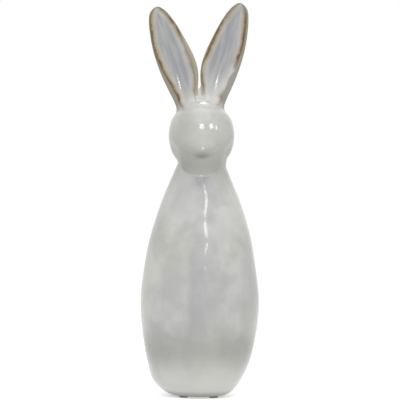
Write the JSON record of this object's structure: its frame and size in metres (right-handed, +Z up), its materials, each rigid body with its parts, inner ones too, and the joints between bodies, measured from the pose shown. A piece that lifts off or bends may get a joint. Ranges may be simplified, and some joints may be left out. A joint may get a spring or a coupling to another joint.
{
  "type": "ceramic rabbit figurine",
  "caption": "Tall glazed rabbit ornament with a pear-shaped hollow body, a round nodding head and upright dished ears, for standing on a shelf or table.",
  "frame": {"origin": "middle of the footprint, on the table that the rubber feet stand on", "axes": "+Z up through the body to the ears, -Y the way the rabbit faces, +X to the right as seen from the front"},
  "size_m": [0.09, 0.09, 0.2998],
  "materials": {
    "body_glaze": "glossy clouded white glaze on stoneware",
    "ear_glaze": "glossy blue-grey glaze that breaks brown on the rims",
    "rubber": "matt moulded rubber"
  },
  "bodies": {
    "root": {"body_shell": "body_glaze", "head_shell": "body_glaze", "ear_left": "ear_glaze", "ear_right": "ear_glaze", "neck_slip": "body_glaze", "ear_left_slip": "body_glaze", "ear_right_slip": "body_glaze", "rubber_foot_front_left": "rubber", "rubber_foot_front_right": "rubber", "rubber_foot_back_left": "rubber", "rubber_foot_back_right": "rubber"}
  },
  "joints": []
}
